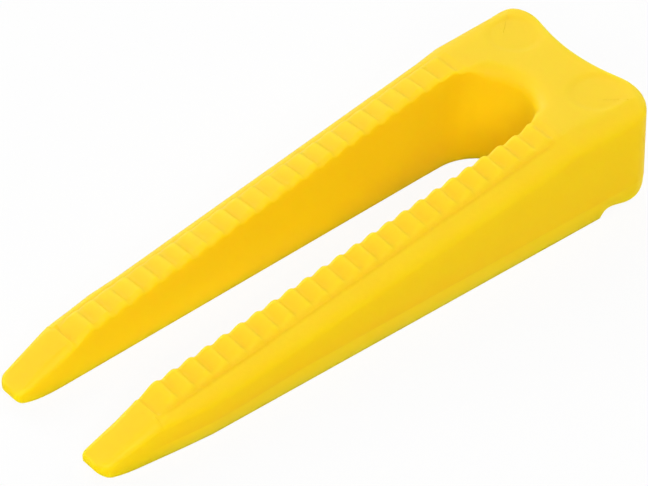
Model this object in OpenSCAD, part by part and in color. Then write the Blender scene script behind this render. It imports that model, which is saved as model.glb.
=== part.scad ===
// Tile levelling wedge: a moulded fork whose two toothed legs slide through the
// windows of levelling clips. Tips point to -X, the heel stands at +X, base on z = 0.

/* [Body] */
// Overall length, tips to back corners
body_l = 81; // [60:1:110]
// Width across the heel at its widest line
heel_w = 26.4; // [20:0.2:40]
// Height of the heel's flat top
heel_h = 14; // [11:0.5:20]
// Length of the heel's flat top
heel_top_l = 13.2; // [10:0.1:20]
// Lean of each outer wall in plan, narrower towards the tips, degrees
leg_splay = 1.33; // [0:0.01:3]
// Radius of the shoulder between the top and the outer walls
shoulder_r = 2.85; // [0.5:0.05:4]
// Height of the mould's parting line on the outer walls
part_z = 2.65; // [1:0.05:4]
// Set-back of the bottom edge under the parting line
band_in = 0.14; // [0:0.01:0.5]
// Draft of the outer walls above the parting line, degrees
wall_draft = 1.2; // [0:0.1:3]

/* [Slot] */
// Width of the slot where its round end begins
slot_w = 13.3; // [8:0.1:18]
// Lean of each slot wall in plan, degrees
slot_taper = 1.08; // [0:0.01:3]
// Radius of the slot's round end
slot_r = 6.7; // [6:0.1:12]
// Solid length between the slot's end and the back corners
web_l = 10; // [8:0.1:20]
// Rounding of the slot's end into the heel's top
end_r = 1.4; // [0.3:0.1:2.5]

/* [Tips] */
// Width of each leg at its tip
tip_w = 4.7; // [3:0.05:6]
// Height of the ramp line at the very tip
tip_h = 1.7; // [1.2:0.1:4]
// Rounding of the tip corners in plan
tip_r = 2.2; // [0.5:0.1:2.3]
// Rounding of the outer top edge at the tip
tip_edge_r = 0.6; // [0.3:0.1:1]
// Rounding of the outer top edge where the lead-in ramp ends
lead_edge_r = 1.3; // [0.5:0.1:2]
// Rounding of the lead-in ramp's inner edge
ramp_edge_r = 1.3; // [0.3:0.1:1.8]
// Height taken off the tip's lower edge
tip_lift = 0.8; // [0:0.05:1]
// Length over which the tip's lower edge rises
tip_bow = 3; // [1:0.1:5]
// Length over which the outer walls draw in to the tips
nose_l = 14.3; // [10:0.1:20]
// Length of the plain lead-in ramp before the teeth
lead_l = 8.8; // [5:0.1:12]

/* [Teeth] */
// Rise of the toothed tops, degrees
ramp_angle = 8.37; // [4:0.01:9.5]
// Spacing of the teeth along the leg
tooth_pitch = 2.4; // [1.6:0.05:4]
// Depth of each tooth, crest to foot
tooth_depth = 0.55; // [0.3:0.05:0.9]
// Height of the tooth feet above the plain top
tooth_base = 0.05; // [0.02:0.01:0.3]
// Run of the steep tooth face that looks to the heel
tooth_back = 0.28; // [0.1:0.02:0.6]
// Length of the first tooth, lead-in ramp to crest
first_l = 2.45; // [1.5:0.05:3]
// Width of the toothed strip beside the slot
strip_w = 3.97; // [2.5:0.01:5]
// Lean of the strip's outer flank, degrees
flank_lean = 25; // [0:1:45]
// Depth of the crease in front of the first tooth
crease_d = 0.2; // [0.05:0.05:0.4]

/* [Heel] */
// Radius of the hollow back
back_r = 30; // [20:0.5:60]
// Depth of the hollow back
back_d = 1.4; // [0.5:0.1:2.5]
// Rounding of the back corners in plan
corner_r = 3.2; // [1:0.1:5]
// Distance of the underside relief's front wall from the back
relief_l = 8.5; // [6:0.1:9.5]
// Height of the underside relief behind its front wall
relief_h = 1.2; // [0.5:0.05:2]
// Clearance under the back edge
relief_end = 0.3; // [0.1:0.05:0.8]
// Rounding of the lower back edge
toe_r = 2.2; // [1:0.1:3.5]
// Diameter of the two ejector marks on the heel
mark_d = 4.8; // [3:0.1:7]
// Depth of the ejector marks
mark_depth = 0.15; // [0.05:0.05:0.4]
// Distance of the ejector marks from the back corners' line
mark_back = 4.1; // [3:0.1:8]
// Distance of each ejector mark from the middle
mark_y = 6.9; // [4:0.1:9]

/* [Hidden] */
// Smallest slice used to span the body between its cross-sections
slice = 0.02;
// Facets in a quarter of a rounding
arc_n = 12;
heel_x = body_l - heel_top_l;
rise = tan(ramp_angle);
slot_x = body_l - web_l - slot_r;
slot_a = asin(min(1, slot_w / 2 / slot_r));
slot_x1 = slot_x + slot_r * cos(slot_a);
first_x = lead_l + first_l;
tooth_n = floor((heel_x - 1 - first_x) / tooth_pitch) + 1;

// Points on an arc about c, from angle a to angle b
function arc(c, r, a, b, n = arc_n) =
    [for (i = [0:n]) c + r * [cos(a + (b - a) * i / n), sin(a + (b - a) * i / n)]];

// Height of the plain top along the legs
function top_z(x) = heel_h - (heel_x - x) * rise;

// Height of the lead-in ramp
function ramp_z(x) = tip_h + x * (top_z(lead_l) - tip_h) / lead_l;

// Half width at the parting line
function main_w(x) = heel_w / 2 - (body_l - x) * tan(leg_splay);
function slot_half(x) = slot_w / 2 - (slot_x1 - x) * tan(slot_taper);
tip_half = slot_half(0) + tip_w;
function wall(x) =
    x >= nose_l ? main_w(x) : tip_half + (main_w(nose_l) - tip_half) * x / nose_l;

// Outline of the right half of a cross-section: base, parting line, shoulder
function half_section(w, z0, zp, z, r) =
    let (wt = w - max(0, z - r - zp) * tan(wall_draft))
    concat([[w - band_in, z0], [w, zp]], arc([wt - r, z - r], r, 0, 90));

// Thin slice of the full cross-section at x
module station(x, w, z0, zp, z, r) {
    right = half_section(w, z0, zp, z, r);
    left = [for (i = [len(right) - 1:-1:0]) [-right[i][0], right[i][1]]];
    translate([x, 0, 0])
        rotate([90, 0, 90])
            linear_extrude(slice)
                polygon(concat(right, left));
}

// Body without its openings, spanned through the stations from tip to back
module blank() {
    bow_1 = tip_bow / 6;
    bow_2 = tip_bow / 2;
    lead_z = top_z(lead_l);
    full_x = nose_l + 3;
    nose_r = (lead_edge_r + 2 * shoulder_r) / 3;
    hull() {
        station(0, wall(0), tip_lift, tip_lift + 0.1, tip_h - 0.15, tip_edge_r / 2);
        station(bow_1, wall(bow_1), 0.4 * tip_lift, tip_h / 2, ramp_z(bow_1), tip_edge_r);
        station(bow_2, wall(bow_2), 0.1 * tip_lift, tip_h / 2, ramp_z(bow_2), tip_edge_r);
        station(tip_bow, wall(tip_bow), 0, tip_h / 2, ramp_z(tip_bow), tip_edge_r);
        station(lead_l, wall(lead_l), 0, min(part_z, lead_z - lead_edge_r), lead_z, lead_edge_r);
        station(nose_l, wall(nose_l), 0, part_z, top_z(nose_l), nose_r);
        station(full_x, wall(full_x), 0, part_z, top_z(full_x), shoulder_r);
        station(heel_x, wall(heel_x), 0, part_z, heel_h, shoulder_r);
        station(body_l - slice, wall(body_l), 0, part_z, heel_h, shoulder_r);
    }
}

// Side outline of the ratchet teeth: long faces rise to the heel, steep faces look at it
module tooth_profile() {
    last = first_x + (tooth_n - 1) * tooth_pitch;
    low = 1.2;
    teeth = [for (k = [0:tooth_n - 1]) each let (x = first_x + k * tooth_pitch) [
        [x, min(top_z(x) + tooth_base + tooth_depth, heel_h + 0.08)],
        [x + tooth_back, min(top_z(x + tooth_back) + tooth_base, heel_h - 0.1)]
    ]];
    polygon(concat(
        [[lead_l, top_z(lead_l) - low], [lead_l, top_z(lead_l) - 0.02]],
        teeth,
        [[last + tooth_back + 0.01, top_z(last) - low]]
    ));
}

// Straight bar that holds the teeth of one leg to the strip beside the slot
module strip_bar() {
    y0 = slot_half(lead_l) + strip_w;
    deep = 2;
    high = 2;
    lean = tan(flank_lean);
    translate([lead_l, y0, top_z(lead_l)])
        rotate([0, -ramp_angle, slot_taper])
            translate([-3, 0, 0])
                rotate([90, 0, 90])
                    linear_extrude(body_l)
                        polygon([[-strip_w - 2, -deep], [deep * lean, -deep],
                                 [-high * lean, high], [-strip_w - 2, high]]);
}

module teeth() {
    intersection() {
        translate([0, heel_w, 0])
            rotate([90, 0, 0])
                linear_extrude(2 * heel_w)
                    tooth_profile();
        union() {
            strip_bar();
            mirror([0, 1, 0]) strip_bar();
        }
    }
}

// Crease across both legs where the lead-in ramp meets the first tooth
module crease() {
    z = top_z(lead_l);
    for (s = [-1, 1])
        translate([0, s * (slot_half(lead_l) + strip_w / 2) + strip_w / 2 + 0.6, 0])
            rotate([90, 0, 0])
                linear_extrude(strip_w + 1.2)
                    polygon([[lead_l - 0.3, z + 0.1], [lead_l - 0.05, z - crease_d],
                             [lead_l + 0.4, z + 0.1]]);
}

// Through slot with a round end and a rounded mouth at the tips
module slot() {
    mouth_y = slot_half(tip_r) + tip_r;
    side = concat(
        [[-1, mouth_y]],
        arc([tip_r, mouth_y], tip_r, 180, 270, 8),
        arc([slot_x, 0], slot_r, slot_a, 0, 16)
    );
    other = [for (i = [len(side) - 2:-1:0]) [side[i][0], -side[i][1]]];
    translate([0, 0, -1])
        linear_extrude(heel_h + 3)
            polygon(concat(side, other));
}

// Corner left outside a rounding of radius r, a little proud of both faces that it meets
module outside_corner(r) {
    c = -r + 0.04;
    polygon(concat([[0.5, c], [0.5, 0.5], [c, 0.5]], arc([c, c], r, 90, 0, 8)));
}

// Rounding along the inner edge of one lead-in ramp
module ramp_edge() {
    lead_z = top_z(lead_l);
    slope = atan((lead_z - tip_h) / lead_l);
    translate([lead_l, slot_half(lead_l), lead_z])
        rotate([0, -slope, slot_taper])
            translate([-lead_l * 1.3, 0, 0])
                rotate([90, 0, 90])
                    linear_extrude(lead_l * 1.3 - 0.3)
                        mirror([1, 0, 0])
                            outside_corner(ramp_edge_r);
}

// Rounding of the slot's end into the heel's top, behind the last teeth
module end_edge() {
    intersection() {
        translate([slot_x, 0, heel_h])
            rotate_extrude($fn = 96)
                translate([slot_r, 0])
                    mirror([1, 0, 0])
                        outside_corner(end_r);
        translate([heel_x, -heel_w / 2, heel_h - end_r - 1])
            cube([body_l, heel_w, end_r + 3]);
    }
}

// Stock taken off the outer tip corner and the back corner on one side
module corner_cuts() {
    tip_y = wall(tip_r) + 0.02 - tip_r;
    back_y = wall(body_l - corner_r) + 0.02 - corner_r;
    back_x = body_l - corner_r;
    translate([0, 0, -1])
        linear_extrude(heel_h + 3) {
            polygon(concat([[-1, tip_y]], arc([tip_r, tip_y], tip_r, 180, 90, 8),
                           [[tip_r, tip_y + tip_r + 1], [-1, tip_y + tip_r + 1]]));
            polygon(concat([[body_l + 1, back_y]], arc([back_x, back_y], corner_r, 0, 90),
                           [[back_x, back_y + corner_r + 2], [body_l + 1, back_y + corner_r + 2]]));
        }
}

// Relief under the heel: a hollow front wall, a shallow slope, a rounded back edge
module relief() {
    x0 = body_l - relief_l;
    fillet = relief_h;
    toe = [body_l - toe_r, relief_end + toe_r];
    translate([0, heel_w, 0])
        rotate([90, 0, 0])
            linear_extrude(2 * heel_w)
                polygon(concat(
                    [[x0, -1]],
                    arc([x0 + fillet, relief_h - fillet], fillet, 180, 90, 8),
                    arc(toe, toe_r, 258, 360, 10),
                    [[body_l + 1, toe[1]], [body_l + 1, -1]]
                ));
}

module levelling_wedge() {
    color("gold")
        translate([-body_l / 2, 0, 0])
            difference() {
                union() {
                    difference() {
                        blank();
                        crease();
                    }
                    teeth();
                }
                slot();
                end_edge();
                ramp_edge();
                mirror([0, 1, 0]) ramp_edge();
                corner_cuts();
                mirror([0, 1, 0]) corner_cuts();
                translate([body_l - back_d + back_r, 0, -1])
                    cylinder(h = heel_h + 3, r = back_r, $fn = 180);
                relief();
                for (s = [-1, 1])
                    translate([body_l - mark_back, s * mark_y, heel_h - mark_depth])
                        cylinder(h = 1, d = mark_d, $fn = 48);
            }
}

levelling_wedge();
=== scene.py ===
"""Looks of a tile levelling wedge: the moulded fork with its teeth, a plain stage and a camera."""

import math
from types import SimpleNamespace

import bpy
import numpy as np
from mathutils import Matrix, Vector


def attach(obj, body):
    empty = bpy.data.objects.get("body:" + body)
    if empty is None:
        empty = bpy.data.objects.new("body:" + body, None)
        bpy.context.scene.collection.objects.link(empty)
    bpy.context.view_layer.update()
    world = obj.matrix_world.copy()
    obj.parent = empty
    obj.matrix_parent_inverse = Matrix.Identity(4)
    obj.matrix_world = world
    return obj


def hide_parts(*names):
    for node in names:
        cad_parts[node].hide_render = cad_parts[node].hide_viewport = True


bl_info = {
    "name": "Tile levelling wedge",
    "version": (1, 0, 0),
    "blender": (4, 5, 0),
    "location": "3D View > Sidebar > Wedge",
    "description": "Builds a moulded levelling wedge with toothed legs, its plastic and a plain stage",
    "category": "Object",
}

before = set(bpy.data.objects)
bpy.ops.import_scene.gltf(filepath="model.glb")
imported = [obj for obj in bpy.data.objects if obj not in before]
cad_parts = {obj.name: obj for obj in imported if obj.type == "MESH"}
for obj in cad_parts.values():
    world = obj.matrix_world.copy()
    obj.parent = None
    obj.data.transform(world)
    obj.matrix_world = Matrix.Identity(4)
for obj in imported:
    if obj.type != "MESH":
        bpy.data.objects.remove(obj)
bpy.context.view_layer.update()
WEDGE_NODE = "levelling_wedge"

# Fixed sizes in millimetres, with x from the tips, y from the middle plane and z from the base, and counts.
# Names that end in grow, rise or draft are slopes, names that end in share are parts of another size, and
# pairs of numbers are ranges along x.
FORM = dict(
    length=80.85,
    tip_to_middle=40.49,
    # plan of the walls: half widths carried back to the tips, which grow towards the heel, and the nose
    outer_y=11.293,
    outer_grow=0.0232,
    nose_x=14.28,
    nose_y=9.84,
    inner_y=5.376,
    inner_grow=0.0189,
    slot_end_x=64.28,
    slot_end_r=6.553,
    slot_blend_l=4.0,
    # lead-in ramp
    lead_x=8.6,
    lead_lift=0.15,
    lead_rise=0.412,
    lead_bend_r=4.0,
    # place up to which the shoulder follows the ramp itself
    ramp_end=8.0,
    # tips: height of the top at the end, then what each rounding takes off there, and its length
    tip_z=1.46,
    tip_top_l=0.284,
    tip_bow=1.24,
    tip_bow_l=4.7,
    tip_in=0.7,
    tip_in_l=0.8,
    tip_out=1.992,
    tip_out_l=1.27,
    tip_taper=0.42,
    tip_taper_l=6.87,
    # crease in front of the first tooth
    crease_run=0.55,
    crease_start_r=0.25,
    crease_back=0.1,
    crease_depth=0.29,
    crease_r=0.26,
    # sloping top
    heel_x=67.68,
    heel_h=14.0,
    heel_bend_r=6.0,
    rise=0.1471,
    # teeth
    first_step=11.33,
    tooth_count=24,
    strip_y=9.543,
    strip_grow=0.0144,
    strip_lift=0.3,
    bow_run=1.1,
    bow_share=0.82,
    bow_r=1.5,
    step_share=0.6,
    # rise of the strip towards the slot, and where it comes in and goes out
    strip_tilt=0.22,
    tilt_start=(8.0, 9.6),
    tilt_end=(60.18, 66.18),
    # slot's edge beside the last tooth, and the join of that tooth with the heel's top
    last_edge=0.6,
    last_join=0.3,
    # the last teeth sink into the heel's top and grow flatter
    sunk_teeth=4,
    sunk_past=0.2,
    sink_depth=0.25,
    sink_flat_share=0.4,
    # outer ends of the teeth and the groove beside them, from the middle of the groove
    tooth_end_run=0.5,
    tooth_end_least_r=0.05,
    tooth_end_grow=2.2,
    groove_half=0.03,
    groove_r=0.2,
    groove_out=0.4,
    groove_width_share=0.75,
    groove_start=(8.3, 9.8),
    groove_end=(65.6, 67.4),
    # on the heel the groove's line runs on from the leg and soon keeps inside the shoulder
    line_in=0.25,
    line_out=0.83,
    line_turn_share=0.12,
    # walls: the band under the parting line starts with a lip, a share of its set-back and height
    wall_draft=0.02,
    part_z=2.65,
    part_share=0.5,
    part_r=0.12,
    band_start=(9.8, 14.8),
    band_lip=0.15,
    band_lip_share=0.3,
    band_r=0.1,
    base_inset=0.45,
    inner_point_share=0.36,
    # heel
    hollow_r=24.0,
    hollow_half=5.5,
    corner_back=7.25,
    back_draft=0.01,
    back_edge=0.25,
    slot_edge_share=0.35,
    relief_x=72.6,
    relief_h=1.0,
    relief_front_l=1.2,
    relief_fade_l=4.5,
    relief_gap=0.2,
    toe_x=77.1,
    toe_lift=0.35,
    toe_r=3.9,
    mark_x=76.4,
    mark_y=7.3,
    mark_soft=0.6,
)

# The most that the roundings take of a section's width and height, and that small edges take of either
INNER_SHARE = 0.42
SHOULDER_SHARE = 0.5
HEIGHT_SHARE = 0.6
SMALL_SHARE = 0.2

# Radius and steps of a corner that only marks a point on a straight run
STRAIGHT = (0.2, 1)

# Smallest width or height of a section, and how close places and heights count as the same, in millimetres
THINNEST = 0.03
END_TOLERANCE = 0.05
TOP_TOLERANCE = 0.01

# Run either way along the heel's outline that gives its direction, in millimetres
DIRECTION_RUN = 0.15

# Share of a heel section's base in which the points crowd that would lie past the outer wall
CROWD_SHARE = 0.005

# Steps round the corners of a section: lower edges, slot's edge, tooth end, groove, shoulder, parting line
EDGE_STEPS = 3
ROUND_STEPS = 8
END_STEPS = 6
GROOVE_STEPS = 3
SHOULDER_STEPS = 12
PART_STEPS = 2

# Steps across the strip's top, and sections round half the heel
STRIP_STEPS = 26
HEEL_STEPS = 80

# Points along the plan of the heel's side, corner and hollow back
SIDE_POINTS = 28
CORNER_POINTS = 18
BACK_POINTS = 40

# Places of the base's points behind the start of the relief, close together where its front wall is steep
RELIEF_RUNS = (0, 0.03, 0.1, 0.22, 0.4, 0.65, 1.0, 1.5, 2.1, 2.8, 3.5, 4.2, 4.8, 5.6, 6.4, 7.1, 7.7, 8.1)
BASE_STEPS = len(RELIEF_RUNS)

# Sections of the tip: angles of a quarter turn that crowd them towards its end, the length that they share,
# and the even steps up the ramp after it, in millimetres
TIP_ANGLES = (2, 6, 10, 15, 20, 26, 32, 39, 47, 56, 66, 78, 90)
TIP_FINE_L = 4.2
RAMP_STEP = 0.4
RAMP_STEPS = 8

# Length before the slot's round end where the fine sections start, and their longest step, in millimetres
SLOT_FINE_L = 4.5
SLOT_FINE_STEP = 0.25

# Painted shade and light down an outer wall: painted shade on the points above the parting line and on the
# line where it is faintest, painted bounce light on the band's lip
WALL_SHADES = (-0.1, -0.2, -0.35, -0.5, -0.5)
LINE_SHADE = -0.4
LIP_LIGHT = 0.5

# Ranges along x, in millimetres from the tips: the painted shade and light come in, partly fade, and end at
# the heel
PAINT_START = (4.0, 12.0)
PAINT_FADE = (45.0, 70.0)
PAINT_FADE_SHARE = 0.6
PAINT_END = (74.0, 78.0)

# Sizes of the plastic's patterns in metres
CLOUD_WIDTH = 0.009
LIGHT_PATCH_WIDTH = 0.0016
WAVE_LENGTH = 0.005
WAVE_DEPTH = 0.00004

# Most that the painted shade of the parting line and the painted bounce light of the band cover, and how far
# the grain moves the roughness
LINE_SHADE_COVER = 0.5
BAND_LIGHT_COVER = 0.75
ROUGHNESS_SPREAD = 0.04

# Soft lamps that look at the middle of the base: name, place and diameter in metres, power in watts
SOFTBOXES = (
    ("key_softbox", (-0.35, -0.55, 0.75), 0.7, 3.65),
    ("front_softbox", (-0.5, -0.6, 0.55), 0.5, 3.5),
    ("left_softbox", (-0.9, 0.0, 0.45), 0.6, 1.75),
    ("right_softbox", (0.9, -0.3, 0.45), 0.6, 3.45),
    ("far_left_softbox", (-0.5, 0.75, 0.6), 0.6, 1.55),
    ("back_softbox", (0.5, 0.6, 0.7), 0.7, 2.1),
    ("far_low_softbox", (0.1, 0.95, 0.36), 0.6, 4.9),
)

# Floor's half side in metres, the share of plain white that the camera sees on it, and the tent's own light
FLOOR_HALF = 3.0
FLOOR_WHITE_SHARE = 0.9
TENT_STRENGTH = 0.05
WHITE = (1.0, 1.0, 1.0, 1.0)


def length_prop(name, description, millimetres):
    """A length that the sidebar shows, given in millimetres and kept in metres."""
    return bpy.props.FloatProperty(
        name=name,
        description=description,
        default=millimetres / 1000,
        min=0.0,
        precision=5,
        unit="LENGTH",
        subtype="DISTANCE",
    )


def colour_prop(name, description, hex_value):
    """A colour that the sidebar shows as its sRGB hex value."""
    return bpy.props.StringProperty(name=name, description=description, default=hex_value)


def angle_prop(name, description, degrees):
    """An angle that the sidebar shows, given in degrees and kept in radians."""
    return bpy.props.FloatProperty(
        name=name, description=description, default=math.radians(degrees), subtype="ANGLE"
    )


class WedgeSizes(bpy.types.PropertyGroup):
    """Sizes of the moulding that a user would change."""

    tooth_pitch: length_prop("Tooth pitch", "Spacing of the teeth along the leg", 2.3945)
    crest: length_prop("Crest height", "Height of the tooth crests above the tooth line", 0.3)
    foot: length_prop("Foot depth", "Depth of the tooth feet under the tooth line", 0.17)
    crest_round: length_prop("Crest rounding", "Radius of the soft tooth crests", 0.6)
    foot_round: length_prop("Foot rounding", "Radius in the tooth feet", 0.6)
    tooth_back: length_prop("Steep face run", "Run of the steep tooth faces that look to the heel", 0.78)
    tooth_end: length_prop("Tooth end rounding", "Radius at the outer ends of the teeth", 1.1)
    crevice: length_prop("Crevice depth", "Depth of the groove between the teeth and the shoulder", 0.16)
    shoulder: length_prop("Shoulder radius", "Radius between the sloping top and the outer walls", 2.6)
    shoulder_heel: length_prop("Heel shoulder radius", "Radius between the heel's top and its sides", 2.75)
    inner_edge: length_prop("Inner edge rounding", "Radius along the teeth's inner ends", 0.65)
    slot_edge: length_prop("Slot end rounding", "Radius where the slot's end meets the heel's top", 1.9)
    base_edge: length_prop("Base edge rounding", "Radius along the lower edges", 0.12)
    band_step: length_prop("Band set-back", "Set-back of the wall under the parting line", 0.1)
    hollow: length_prop("Hollow back depth", "Depth of the hollow in the heel's back", 1.35)
    corner: length_prop("Back corner reach", "Reach of the back corners' bend along the sides", 4.5)
    mark_round: length_prop("Ejector mark radius", "Radius of the two round marks on the heel", 3.3)
    mark_depth: length_prop("Ejector mark depth", "Depth of the two round marks on the heel", 0.16)


class WedgeFinish(bpy.types.PropertyGroup):
    """Colour and surface of the moulded plastic."""

    colour: colour_prop("Plastic colour", "sRGB hex value of the plastic", "#FAD410")
    colour_deep: colour_prop("Flow colour", "sRGB hex value where the pigment lies thicker", "#F8CE0C")
    roughness: bpy.props.FloatProperty(
        name="Roughness",
        description="Roughness of the spark-eroded surface",
        default=0.55,
        min=0.0,
        max=1.0,
        subtype="FACTOR",
    )
    # painted shade: a deeper orange for the outer walls above the parting line, darkest at the line, where
    # the walls lie in shade
    painted_shade_colour: colour_prop("Parting line colour", "sRGB hex value above the parting line", "#F2BE20")
    # painted light: a paler colour for the band under the parting line, in patches, standing in for the
    # floor's bounced light
    painted_light_colour: colour_prop(
        "Band colour", "sRGB hex value of the scuffed band under the parting line", "#FFD83A"
    )
    grain: length_prop("Grain size", "Width of the surface's grains", 0.22)
    grain_depth: length_prop("Grain depth", "Depth of the surface's grains", 0.012)


class StageSettings(bpy.types.PropertyGroup):
    """Floor and camera."""

    floor: colour_prop("Floor colour", "sRGB hex value of the floor", "#F0F0F0")
    lens: bpy.props.FloatProperty(
        name="Lens", description="Focal length on a 36 mm wide sensor, millimetres", default=205.1
    )
    distance: length_prop("Camera distance", "Distance of the camera from its aim", 429.75)
    azimuth: angle_prop("Azimuth", "Turn of the camera towards the tips", 39.825)
    elevation: angle_prop("Elevation", "Height of the camera over the horizon", 41.53)
    roll: angle_prop("Roll", "Roll of the camera", -0.393)
    aim: bpy.props.FloatVectorProperty(
        name="Aim",
        description="Point that the camera looks at",
        default=(0.00041, 0.00078, 0.00504),
        size=3,
        subtype="XYZ",
        unit="LENGTH",
    )


def all_sizes(props):
    """Fixed and chosen sizes of the moulding in one place, in millimetres."""
    chosen = {key: getattr(props, key) * 1000 for key in WedgeSizes.__annotations__}
    return SimpleNamespace(**FORM, **chosen)


def smooth(value, low, high):
    """Soft step from 0 at low to 1 at high."""
    t = min(1.0, max(0.0, (value - low) / (high - low)))
    return t * t * (3 - 2 * t)


def ellipse_drop(run, drop, length):
    """What an elliptical rounding takes off at a distance from its start."""
    if run >= length:
        return 0.0
    return drop * (1 - math.sqrt(max(0.0, 1 - ((length - run) / length) ** 2)))


def rounded(points):
    """Points along a line with round corners: two plain ends, and corners (a, b, radius, steps) between."""
    out = [np.array(points[0][:2], float)]
    for before, corner, after in zip(points, points[1:], points[2:]):
        p = np.array(corner[:2], float)
        radius, steps = corner[2:]
        u, v = np.array(before[:2], float) - p, np.array(after[:2], float) - p
        long_u, long_v = max(np.hypot(*u), 1e-9), max(np.hypot(*v), 1e-9)
        u, v = u / long_u, v / long_v
        half = max(0.02, math.acos(max(-1.0, min(1.0, float(u @ v)))) / 2)
        # a rounding takes less than half of each side, and a straight corner keeps a tiny one
        run = min(radius / math.tan(half), 0.48 * min(long_u, long_v)) if half < 1.5707 else 0.0
        run = max(run, 1e-3)
        for t in np.linspace(0, 1, steps + 1):
            weight = (1 - t) ** 2 + 2 * math.sin(half) * t * (1 - t) + t * t
            out.append(p + (u * run * (1 - t) ** 2 + v * run * t * t) / weight)
    out.append(np.array(points[-1][:2], float))
    return np.array(out)


def outer_wall(m, x):
    """Half width of the fork at its parting line."""
    y = m.outer_y + m.outer_grow * x
    if x < m.nose_x:
        y = m.nose_y + (m.outer_y + m.outer_grow * m.nose_x - m.nose_y) * x / m.nose_x
    return y - ellipse_drop(x, m.tip_out, m.tip_out_l)


def inner_wall(m, x):
    """Half width of the slot."""
    # the walls turn parallel just before the round end
    over = min(m.slot_blend_l, max(0.0, x - m.slot_end_x + m.slot_blend_l))
    y = m.inner_y + m.inner_grow * (min(x, m.slot_end_x) - over * over / (2 * m.slot_blend_l))
    if x > m.slot_end_x:
        y = math.sqrt(max(0.0, m.slot_end_r**2 - (x - m.slot_end_x) ** 2))
    # the slot opens a little along the ramps
    y += m.tip_taper * max(0.0, 1 - x / m.tip_taper_l) ** 2
    return y + ellipse_drop(x, m.tip_in, m.tip_in_l)


def plain_top(m, x):
    """Height of the sloping top without its teeth."""
    return m.heel_h - (m.heel_x - x) * m.rise


def ramp_top(m, x):
    """Height of the lead-in ramp."""
    return plain_top(m, m.lead_x) + m.lead_lift - (m.lead_x - x) * m.lead_rise


def shoulder_line(m):
    """Side view of the top edge that the shoulder follows: ramp, slope, heel."""
    return rounded([
        (0.0, ramp_top(m, 0.0)),
        (m.lead_x, plain_top(m, m.lead_x), m.lead_bend_r, 8),
        (m.heel_x, m.heel_h, m.heel_bend_r, 6),
        (m.length, m.heel_h),
    ])


def tooth_corners(m, k):
    """Side view of one tooth: the bow of its long face, its crest and its foot."""
    x = m.first_step + k * m.tooth_pitch
    sink = smooth(k, m.tooth_count - m.sunk_teeth, m.tooth_count + m.sunk_past)
    lift = m.strip_lift - m.sink_depth * sink
    flatter = 1 - m.sink_flat_share * sink
    crest, foot = m.crest * flatter, m.foot * flatter
    z = plain_top(m, x) + lift
    bow_x = x - m.bow_run
    bow_z = plain_top(m, bow_x) + lift - foot + m.bow_share * (crest + foot)
    return [
        (bow_x, bow_z, m.bow_r, 3),
        (x - m.tooth_back * m.step_share, z + crest, m.crest_round, 4),
        (x + m.tooth_back * (1 - m.step_share), z - foot, m.foot_round, 3),
    ]


def tooth_line(m):
    """Side view of a toothed strip from tip to heel. Its points are the places of the leg's sections."""
    drop = ramp_top(m, 0.0) - m.tip_z
    tip = [TIP_FINE_L * (1 - math.cos(math.radians(angle))) for angle in TIP_ANGLES]
    tip = [(x, ramp_top(m, x) - ellipse_drop(x, drop, m.tip_top_l)) for x in tip]
    ramp = [TIP_FINE_L + RAMP_STEP * (k + 1) for k in range(RAMP_STEPS)]
    line = [(x, ramp_top(m, x), *STRAIGHT) for x in ramp]
    crease_x = m.lead_x - m.crease_run
    line.append((crease_x, ramp_top(m, crease_x), m.crease_start_r, 3))
    line.append((m.lead_x - m.crease_back, plain_top(m, m.lead_x) - m.crease_depth, m.crease_r, 4))
    for k in range(m.tooth_count):
        line += tooth_corners(m, k)
    line += [(m.heel_x, m.heel_h, m.last_join, 3), (m.heel_x + m.last_join, m.heel_h)]
    line = np.concatenate([tip, rounded(line)])
    # short steps round the slot's end
    fine = [line[:1]]
    for a, b in zip(line, line[1:]):
        n = 1
        if a[0] > m.slot_end_x - SLOT_FINE_L:
            n = max(1, math.ceil((b[0] - a[0]) / SLOT_FINE_STEP))
        fine.append(a + (b - a) * np.arange(1, n + 1)[:, None] / n)
    return np.concatenate(fine)


def relief(m, x):
    """Height of the base: flat, then the shallow relief under the heel and the round toe."""
    # a hollow front wall, steep at its foot
    front_end = m.relief_x + m.relief_front_l
    front = min(1.0, max(0.0, (x - m.relief_x) / m.relief_front_l))
    fade = smooth(x, front_end, m.relief_x + m.relief_fade_l)
    z = m.relief_h * math.sqrt(1 - (1 - front) ** 2) * (1 - (1 - m.toe_lift) * fade)
    if x > m.toe_x:
        z += m.toe_r - math.sqrt(max(0.0, m.toe_r**2 - min(m.toe_r, x - m.toe_x) ** 2))
    return z


def ejector_mark(m, x, y):
    """Depth of the ejector marks at a place on the heel's top."""
    away = math.hypot(x - m.mark_x, abs(y) - m.mark_y)
    return m.mark_depth * (1 - smooth(away, m.mark_round - m.mark_soft, m.mark_round + m.mark_soft))


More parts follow.
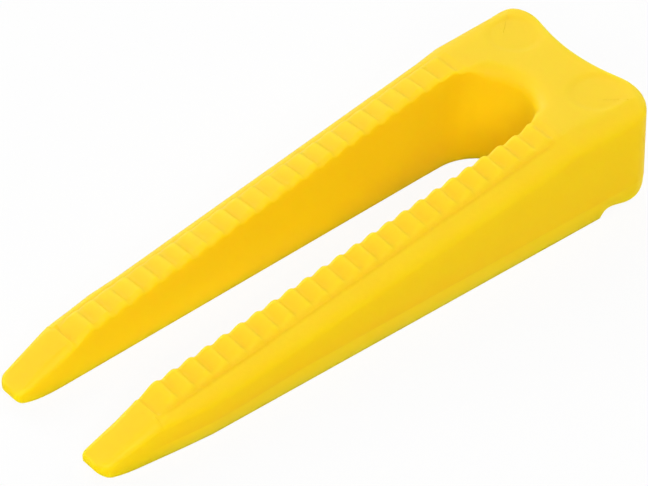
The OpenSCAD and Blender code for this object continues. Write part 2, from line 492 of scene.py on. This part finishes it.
def section(
    m,
    *,
    width,
    low_in,
    low_out,
    strip_z,
    top_z,
    inner_r,
    shoulder_r,
    lean,
    band,
    part,
    cut,
    crevice,
    edge,
    tilt,
):
    """One cross-section as two rows of (offset, z).

    The first row goes from the base up the inner wall and over the strip to the groove, with offsets from
    the inside. The second goes over the shoulder and down the outer wall, with offsets from the outside.
    """
    arc_start = width - lean - shoulder_r

    def shoulder_z(offset):
        return top_z - shoulder_r + math.sqrt(max(0.0, shoulder_r**2 - max(0.0, offset - arc_start) ** 2))

    lift = strip_z - top_z
    inset = min(m.base_inset, SMALL_SHARE * width)
    end = cut - m.tooth_end_run
    end_r = min(m.tooth_end, m.tooth_end_least_r + m.tooth_end_grow * max(0.0, lift + crevice))
    foot = cut + m.groove_out
    inner = rounded([
        (inset, low_in),
        (0.0, low_in, edge, EDGE_STEPS),
        (0.0, low_in + m.inner_point_share * (strip_z - low_in), *STRAIGHT),
        (0.0, strip_z + tilt, inner_r, ROUND_STEPS),
        (end, shoulder_z(end) + lift, end_r, END_STEPS),
        (cut + m.groove_half, shoulder_z(cut) - crevice, m.groove_r, GROOVE_STEPS),
        (foot, shoulder_z(foot)),
    ])
    # finer steps over the strip's top, which starts after the first point and three corners
    flat = 1 + sum(steps + 1 for steps in (EDGE_STEPS, STRAIGHT[1], ROUND_STEPS))
    a, b = inner[flat - 1], inner[flat]
    steps = a + (b - a) * np.linspace(0, 1, STRIP_STEPS + 1)[1:-1, None]
    # the shoulder's first point stands for the last one here
    inner = np.concatenate([inner[:flat], steps, inner[flat:-1]])
    turn = 90.0
    if foot > arc_start:
        turn = math.degrees(math.acos(min(1.0, (foot - arc_start) / shoulder_r)))
    t = np.radians(np.linspace(180 - turn, 180, SHOULDER_STEPS + 1))
    arc = np.stack([lean + shoulder_r * (1 + np.cos(t)), top_z - shoulder_r * (1 - np.sin(t))], 1)
    lip = min(m.band_lip, m.band_lip_share * (part - low_out))
    wall = rounded([
        tuple(arc[-1]),
        (lean / 2, (arc[-1][1] + part) / 2, *STRAIGHT),
        (0.0, part, m.part_r, PART_STEPS),
        (band * m.band_lip_share, part - lip, m.band_r, PART_STEPS),
        (band, low_out, edge, EDGE_STEPS),
        (band + inset, low_out),
    ])
    return inner, np.concatenate([arc, wall[1:]])


def inner_radius(m, x):
    """Rounding of the slot's upper edge: wide on the ramp, closer along the teeth, closest near the heel."""
    places = (0, 4.8, m.lead_x - 1.2, m.lead_x, m.lead_x + 1, m.heel_x - 6, m.heel_x - 1.7, m.heel_x)
    radii = (0.9, 1.25, 1.0, 0.65, m.inner_edge, m.inner_edge, 0.3, m.last_edge)
    return np.interp(x, places, radii)


def shoulder_radius(m, x):
    """Rounding between the top and the outer wall, which grows from the tip to the heel."""
    places = (0, 7.0, 11.0, 18.5, 64.8, 68.8)
    radii = (0.6, 1.15, 1.85, m.shoulder, m.shoulder + 0.5, m.shoulder_heel)
    return np.interp(x, places, radii)


def leg_sections(m):
    """Sections of one leg from its tip to the heel."""
    top = shoulder_line(m)
    rings = []
    for x, strip_z in tooth_line(m):
        if x > m.heel_x + END_TOLERANCE:
            break
        top_z = strip_z if x < m.ramp_end else float(np.interp(x, top[:, 0], top[:, 1]))
        low = ellipse_drop(x, m.tip_bow, m.tip_bow_l)
        inner_y, outer_y = inner_wall(m, x), outer_wall(m, x)
        width, high = outer_y - inner_y, strip_z - low
        # the tip ends where nothing is left to round
        if min(width, high) < THINNEST:
            continue
        shoulder_r = min(shoulder_radius(m, x), SHOULDER_SHARE * width, HEIGHT_SHARE * high)
        part = min(m.part_z, low + m.part_share * (top_z - low - shoulder_r))
        grooved = smooth(x, *m.groove_start) * (1 - smooth(x, *m.groove_end))
        tilted = smooth(x, *m.tilt_start) * (1 - smooth(x, *m.tilt_end))
        inner, outer = section(
            m,
            width=width,
            low_in=low,
            low_out=low,
            strip_z=strip_z,
            top_z=top_z,
            inner_r=min(inner_radius(m, x), INNER_SHARE * width, HEIGHT_SHARE * high),
            shoulder_r=shoulder_r,
            lean=m.wall_draft * max(0.0, top_z - shoulder_r - part),
            band=m.band_step * smooth(x, *m.band_start),
            part=part,
            cut=min(m.strip_y + m.strip_grow * x - inner_y, m.groove_width_share * width),
            crevice=m.crevice * grooved,
            edge=min(m.base_edge, SMALL_SHARE * min(width, high)),
            tilt=m.strip_tilt * tilted,
        )
        ring = [(x, inner_y + offset, z) for offset, z in inner]
        ring += [(x, outer_y - offset, z) for offset, z in outer]
        ring += [(x, y, low) for y in np.linspace(ring[-1][1], ring[0][1], BASE_STEPS + 2)[1:-1]]
        rings.append(ring)
    return rings


def heel_outline(m):
    """Plan of the heel's outside to the middle of its hollow back, and the run along it at each point."""
    middle = m.length - m.hollow
    slope = m.hollow_half / math.sqrt(m.hollow_r**2 - m.hollow_half**2)

    def hollow(y):
        arc = m.hollow_r - math.sqrt(m.hollow_r**2 - min(y, m.hollow_half) ** 2)
        return middle + arc + slope * max(0.0, y - m.hollow_half)

    # the corner is one soft bend between the side and the back
    side_y = outer_wall(m, m.length)
    tip = np.array([hollow(side_y), side_y])
    start = np.array([tip[0] - m.corner, outer_wall(m, tip[0] - m.corner)])
    end = np.array([hollow(m.corner_back), m.corner_back])
    line = [(x, outer_wall(m, x)) for x in np.linspace(m.heel_x, start[0], SIDE_POINTS)]
    for t in np.linspace(0, 1, CORNER_POINTS)[1:]:
        line.append(tuple(start * (1 - t) ** 2 + 2 * tip * t * (1 - t) + end * t * t))
    line += [(hollow(y), y) for y in np.linspace(m.corner_back, 0, BACK_POINTS)[1:]]
    line = np.array(line)
    return line, np.concatenate([[0], np.cumsum(np.hypot(*np.diff(line, axis=0).T))])


def heel_base(m, first, last):
    """Points along the base of one heel section, at the places where the relief turns."""
    runs = m.relief_x + np.array(RELIEF_RUNS)[::-1]
    share = (runs - first[0]) / max(last[0] - first[0], 1e-6)
    # places past the outer wall crowd together just inside it
    over = share >= 1 - CROWD_SHARE
    share[over] = 1 - CROWD_SHARE * np.arange(1, over.sum() + 1) / (over.sum() + 1)
    places = [first + (last - first) * s for s in np.clip(share, 0.0, 1.0)]
    return [(*place, relief(m, place[0])) for place in places]


def heel_sections(m):
    """Sections that fan from the slot's round end to the heel's outside, up to the middle plane."""
    line, run = heel_outline(m)

    def at(distance):
        return np.array([np.interp(distance, run, line[:, 0]), np.interp(distance, run, line[:, 1])])

    start = math.asin((m.heel_x - m.slot_end_x) / m.slot_end_r)
    corner_start, corner_end = run[SIDE_POINTS - 3], run[SIDE_POINTS + CORNER_POINTS - 2]
    rings = []
    for k in range(1, HEEL_STEPS + 1):
        t = k / HEEL_STEPS
        d = run[-1] * t
        out = at(d)
        along = at(min(run[-1], d + DIRECTION_RUN)) - at(max(0.0, d - DIRECTION_RUN))
        angle = start + (math.pi / 2 - start) * t
        inside = np.array([m.slot_end_x + m.slot_end_r * math.sin(angle), m.slot_end_r * math.cos(angle)])
        # the last section lies in the middle plane
        if k == HEEL_STEPS:
            along = np.array([0.0, -1.0])
            inside[1] = out[1] = 0.0
        normal = np.array([-along[1], along[0]]) / np.hypot(*along)
        # the side's round shoulder and draft give way to the back's crisp edge round the corner
        turn = smooth(d, corner_start, corner_end)
        shoulder_r = m.shoulder_heel + (m.back_edge - m.shoulder_heel) * turn
        low = relief(m, out[0])
        part = max(m.part_z, low + m.relief_gap)
        draft = m.wall_draft + (m.back_draft - m.wall_draft) * turn
        lean = draft * (m.heel_h - shoulder_r - part)
        # the flat top runs straight from the slot's end to where the shoulder starts
        across = out - normal * (lean + shoulder_r) - inside
        flat = np.hypot(*across)
        across = across / flat
        inner, outer = section(
            m,
            width=flat + lean + shoulder_r,
            low_in=0.0,
            low_out=low,
            strip_z=m.heel_h,
            top_z=m.heel_h,
            inner_r=m.last_edge + (m.slot_edge - m.last_edge) * smooth(t, 0, m.slot_edge_share),
            shoulder_r=shoulder_r,
            lean=lean,
            band=m.band_step * (1 - turn),
            part=part,
            cut=flat - m.line_in + m.line_out * (1 - smooth(t, 0, m.line_turn_share)),
            crevice=0.0,
            edge=m.base_edge,
            tilt=0.0,
        )
        ring = [(*(inside + across * offset), z) for offset, z in inner]
        ring += [(*(out - normal * offset), z) for offset, z in outer]
        ring += heel_base(m, np.array(ring[0][:2]), np.array(ring[-1][:2]))
        top_z = m.heel_h - TOP_TOLERANCE
        ring = [(x, y, z - ejector_mark(m, x, y) if z > top_z else z) for x, y, z in ring]
        rings.append(ring)
    return rings


def painted_wall_shading(ring):
    """Painted shade and light along one section: painted shade down to -1 at the parting line, painted
    bounce light up to 1 in the band under it, 0 on top.
    """
    painted_shading = np.zeros(len(ring))
    corner = PART_STEPS + 1
    end = len(ring) - BASE_STEPS
    lower_edge = end - (EDGE_STEPS + 1) - 1
    lip = lower_edge - corner
    line = lip - corner
    x = ring[line][0]
    # the painted shade of the line and the painted light of the band fade towards the heel
    clear = (1 - PAINT_FADE_SHARE * smooth(x, *PAINT_FADE)) * (1 - smooth(x, *PAINT_END))
    painted_shading[line - len(WALL_SHADES) : line] = WALL_SHADES
    painted_shading[line:lip] = LINE_SHADE - (1 + LINE_SHADE) * clear
    painted_shading[lip:lower_edge] = LIP_LIGHT * clear
    painted_shading[lower_edge:end] = clear
    # the tips stay plain
    return painted_shading * smooth(x, *PAINT_START)


def fork_mesh(m):
    """Points, faces and the walls' painted shade and light of the fork: one tube from a tip round the heel
    to the other tip.
    """
    half = leg_sections(m) + heel_sections(m)
    rings = half + [[(x, -y, z) for x, y, z in ring] for ring in half[-2::-1]]
    n = len(rings[0])
    painted_shadings = np.concatenate([painted_wall_shading(ring) for ring in rings])
    points = np.array(rings).reshape(-1, 3)
    points[:, 0] -= m.tip_to_middle
    faces = []
    for i in range(len(rings) - 1):
        for j in range(n):
            k = (j + 1) % n
            faces.append((i * n + j, (i + 1) * n + j, (i + 1) * n + k, i * n + k))
    faces.append(tuple(range(n)))
    faces.append(tuple((len(rings) - 1) * n + j for j in range(n))[::-1])
    return points / 1000, faces, painted_shadings


def linear(hex_value):
    """Linear RGBA of an sRGB hex value."""
    parts = [int(hex_value[i : i + 2], 16) / 255 for i in (1, 3, 5)]
    return (*[c / 12.92 if c <= 0.04045 else ((c + 0.055) / 1.055) ** 2.4 for c in parts], 1.0)


def add_node(tree, kind, settings=None, inputs=None):
    """Adds a node, sets its own settings, and fills its inputs with values or with the outputs given."""
    node = tree.nodes.new(kind)
    for key, value in (settings or {}).items():
        setattr(node, key, value)
    for key, value in (inputs or {}).items():
        if isinstance(value, bpy.types.NodeSocket):
            tree.links.new(value, node.inputs[key])
        else:
            node.inputs[key].default_value = value
    return node


def new_material(name):
    """An empty node material and its output node."""
    material = bpy.data.materials.new(name)
    material.use_nodes = True
    material.node_tree.nodes.clear()
    return material, material.node_tree, material.node_tree.nodes.new("ShaderNodeOutputMaterial")


def plastic_colour(tree, finish, place):
    """Colour of the plastic: pigment clouds, painted shade that makes the walls above the parting line
    deeper, and painted bounce light that makes the band below paler.
    """
    clouds = add_node(
        tree, "ShaderNodeTexNoise", inputs={"Vector": place, "Scale": 1 / CLOUD_WIDTH, "Detail": 2.0}
    )
    colour = add_node(
        tree,
        "ShaderNodeMix",
        {"data_type": "RGBA"},
        {0: clouds.outputs["Fac"], 6: linear(finish.colour_deep), 7: linear(finish.colour)},
    )
    # painted shade on the outer walls above and at the parting line below 0, painted bounce light on the
    # band under it above 0
    painted_shading = add_node(tree, "ShaderNodeAttribute", {"attribute_name": "painted_wall_shading"}).outputs["Fac"]
    above = add_node(
        tree, "ShaderNodeMapRange", inputs={"Value": painted_shading, "From Max": -1.0, "To Max": LINE_SHADE_COVER}
    )
    # painted light: the band is painted paler, in patches, for the floor's light bounced onto it
    light_patches = add_node(
        tree, "ShaderNodeTexNoise", inputs={"Vector": place, "Scale": 1 / LIGHT_PATCH_WIDTH, "Detail": 3.0}
    )
    patchy_light = add_node(
        tree, "ShaderNodeMath", {"operation": "MULTIPLY"}, {0: painted_shading, 1: light_patches.outputs["Fac"]}
    )
    under = add_node(tree, "ShaderNodeMapRange", inputs={"Value": patchy_light.outputs[0], "To Max": BAND_LIGHT_COVER})
    for share, shade in ((above, finish.painted_shade_colour), (under, finish.painted_light_colour)):
        colour = add_node(
            tree,
            "ShaderNodeMix",
            {"data_type": "RGBA"},
            {0: share.outputs["Result"], 6: colour.outputs[2], 7: linear(shade)},
        )
    return colour.outputs[2]


def moulded_polypropylene(finish):
    """Polypropylene, injection moulded against a spark-eroded mould."""
    # It gives a satin yellow with soft, wide highlights, light that seeps a little into the thin edges,
    # a fine even grain, and faint clouds where the pigment flowed.
    material, tree, output = new_material("moulded_polypropylene_satin")
    place = add_node(tree, "ShaderNodeTexCoord").outputs["Object"]
    colour = plastic_colour(tree, finish, place)
    # grains of the eroded mould, about 0.1 mm wide in truth and drawn twice as coarse so that they show;
    # a cell of the noise is two grains wide
    grain = add_node(
        tree, "ShaderNodeTexNoise", inputs={"Vector": place, "Scale": 0.5 / finish.grain, "Detail": 2.0}
    )
    grain_bump = add_node(
        tree,
        "ShaderNodeBump",
        inputs={"Height": grain.outputs["Fac"], "Strength": 1.0, "Distance": finish.grain_depth},
    )
    # slow waves of the cooled walls
    waves = add_node(
        tree, "ShaderNodeTexNoise", inputs={"Vector": place, "Scale": 1 / WAVE_LENGTH, "Detail": 1.0}
    )
    wave_bump = add_node(
        tree,
        "ShaderNodeBump",
        inputs={
            "Height": waves.outputs["Fac"],
            "Strength": 1.0,
            "Distance": WAVE_DEPTH,
            "Normal": grain_bump.outputs["Normal"],
        },
    )
    rough = add_node(
        tree,
        "ShaderNodeMapRange",
        inputs={
            "Value": grain.outputs["Fac"],
            "To Min": finish.roughness - ROUGHNESS_SPREAD,
            "To Max": finish.roughness + ROUGHNESS_SPREAD,
        },
    )
    plastic = add_node(
        tree,
        "ShaderNodeBsdfPrincipled",
        inputs={
            "Base Color": colour,
            "Roughness": rough.outputs["Result"],
            "Normal": wave_bump.outputs["Normal"],
            "IOR": 1.49,
            "Specular IOR Level": 0.17,
            "Subsurface Weight": 1.0,
            "Subsurface Radius": (1.0, 0.85, 0.3),
            "Subsurface Scale": 0.002,
        },
    )
    tree.links.new(plastic.outputs["BSDF"], output.inputs["Surface"])
    return material


def background_rays(tree):
    """A value that is 1 for the rays that show the background: seen, reflected or let through."""
    rays = add_node(tree, "ShaderNodeLightPath").outputs
    shown = rays["Is Camera Ray"]
    for kind in ("Is Glossy Ray", "Is Transmission Ray"):
        either = add_node(
            tree, "ShaderNodeMath", {"operation": "ADD", "use_clamp": True}, {0: shown, 1: rays[kind]}
        )
        shown = either.outputs[0]
    return shown


def pale_board(stage):
    """Matt white board of a product photo."""
    # It looks white to the eye and in reflections, lights the object from below, and keeps a soft shadow.
    material, tree, output = new_material("matt_white_board")
    share = add_node(
        tree, "ShaderNodeMath", {"operation": "MULTIPLY"}, {0: background_rays(tree), 1: FLOOR_WHITE_SHARE}
    )
    board = add_node(tree, "ShaderNodeBsdfDiffuse", inputs={"Color": linear(stage.floor)})
    white = add_node(tree, "ShaderNodeEmission", inputs={"Color": WHITE, "Strength": 1.0})
    mix = add_node(
        tree,
        "ShaderNodeMixShader",
        inputs={0: share.outputs[0], 1: board.outputs["BSDF"], 2: white.outputs["Emission"]},
    )
    tree.links.new(mix.outputs["Shader"], output.inputs["Surface"])
    return material


def add_floor(scene, stage):
    """Wide flat floor under the object."""
    mesh = bpy.data.meshes.new("floor")
    corners = [(-1, -1), (1, -1), (1, 1), (-1, 1)]
    mesh.from_pydata([(x * FLOOR_HALF, y * FLOOR_HALF, 0) for x, y in corners], [], [(0, 1, 2, 3)])
    mesh.materials.append(pale_board(stage))
    floor = bpy.data.objects.new("floor", mesh)
    scene.collection.objects.link(floor)


def add_tent(scene):
    """White tent round the stage: a plain white background that gives only a little light."""
    world = bpy.data.worlds.new("studio_tent")
    world.use_nodes = True
    tree = world.node_tree
    tree.nodes.clear()
    tent = add_node(tree, "ShaderNodeBackground", inputs={"Color": WHITE, "Strength": TENT_STRENGTH})
    white = add_node(tree, "ShaderNodeBackground", inputs={"Color": WHITE, "Strength": 1.0})
    mix = add_node(
        tree,
        "ShaderNodeMixShader",
        inputs={0: background_rays(tree), 1: tent.outputs[0], 2: white.outputs[0]},
    )
    add_node(tree, "ShaderNodeOutputWorld", inputs={"Surface": mix.outputs[0]})
    scene.world = world


def add_softboxes(scene):
    """Round soft lamps that look at the middle of the base."""
    for name, place, size, power in SOFTBOXES:
        light = bpy.data.lights.new(name, "AREA")
        light.shape = "DISK"
        light.size = size
        light.energy = power
        lamp = bpy.data.objects.new(name, light)
        lamp.location = place
        lamp.rotation_mode = "QUATERNION"
        lamp.rotation_quaternion = Vector(place).to_track_quat("Z", "Y")
        scene.collection.objects.link(lamp)


def add_camera(scene, stage):
    """Camera at the photograph's viewing angle."""
    camera = bpy.data.cameras.new("photo_camera")
    camera.sensor_fit = "HORIZONTAL"
    camera.sensor_width = 36.0
    camera.lens = stage.lens
    camera.clip_start, camera.clip_end = 0.01, 20.0
    eye = bpy.data.objects.new("photo_camera", camera)
    a, e = stage.azimuth, stage.elevation
    back = Vector((-math.sin(a) * math.cos(e), -math.cos(a) * math.cos(e), math.sin(e)))
    right = (-back).cross(Vector((0, 0, 1))).normalized()
    axes = Matrix((right, back.cross(right), back)).transposed()
    place = Matrix.Translation(Vector(stage.aim) + back * stage.distance)
    eye.matrix_world = place @ axes.to_4x4() @ Matrix.Rotation(stage.roll, 4, "Z")
    scene.collection.objects.link(eye)
    scene.camera = eye


class WEDGE_OT_fork(bpy.types.Operator):
    """Builds the moulded fork with its teeth, roundings and marks in place of the plain solid"""

    bl_idname = "wedge.fork"
    bl_label = "Moulded fork"

    def execute(self, context):
        points, faces, painted_shadings = fork_mesh(all_sizes(context.scene.wedge_sizes))
        mesh = bpy.data.meshes.new("moulded_fork")
        mesh.from_pydata(points.tolist(), [], faces)
        # the walls' painted shade and painted bounce light, for the plastic's colour
        mesh.attributes.new("painted_wall_shading", "FLOAT", "POINT").data.foreach_set("value", painted_shadings)
        mesh.validate()
        mesh.polygons.foreach_set("use_smooth", [True] * len(mesh.polygons))
        fork = bpy.data.objects.new("moulded_fork", mesh)
        context.scene.collection.objects.link(fork)
        mesh.materials.append(moulded_polypropylene(context.scene.wedge_finish))
        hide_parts(WEDGE_NODE)
        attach(fork, "root")
        return {"FINISHED"}


class WEDGE_OT_stage(bpy.types.Operator):
    """Sets up the white floor, the soft light and the camera"""

    bl_idname = "wedge.stage"
    bl_label = "Stage, light and camera"

    def execute(self, context):
        scene = context.scene
        stage = scene.wedge_stage
        scene.view_settings.view_transform = "Standard"
        add_floor(scene, stage)
        add_tent(scene)
        add_softboxes(scene)
        add_camera(scene, stage)
        return {"FINISHED"}


class WEDGE_PT_sidebar(bpy.types.Panel):
    """Sizes, finish and stage of the wedge"""

    bl_idname = "WEDGE_PT_sidebar"
    bl_label = "Levelling wedge"
    bl_space_type = "VIEW_3D"
    bl_region_type = "UI"
    bl_category = "Wedge"

    def draw(self, context):
        for operator, group in (
            ("wedge.fork", "wedge_sizes"),
            (None, "wedge_finish"),
            ("wedge.stage", "wedge_stage"),
        ):
            props = getattr(context.scene, group)
            for key in props.__annotations__:
                self.layout.prop(props, key)
            if operator:
                self.layout.operator(operator)


CLASSES = (WedgeSizes, WedgeFinish, StageSettings, WEDGE_OT_fork, WEDGE_OT_stage, WEDGE_PT_sidebar)


def register():
    """Registers the classes and hangs the settings on the scene."""
    for cls in CLASSES:
        bpy.utils.register_class(cls)
    bpy.types.Scene.wedge_sizes = bpy.props.PointerProperty(type=WedgeSizes)
    bpy.types.Scene.wedge_finish = bpy.props.PointerProperty(type=WedgeFinish)
    bpy.types.Scene.wedge_stage = bpy.props.PointerProperty(type=StageSettings)


def unregister():
    """Takes the settings and the classes away again."""
    del bpy.types.Scene.wedge_stage
    del bpy.types.Scene.wedge_finish
    del bpy.types.Scene.wedge_sizes
    for cls in reversed(CLASSES):
        bpy.utils.unregister_class(cls)


def main():
    """Builds the wedge and its stage."""
    register()
    bpy.ops.wedge.fork()
    bpy.ops.wedge.stage()
    bpy.context.view_layer.update()


if __name__ == "__main__":
    main()
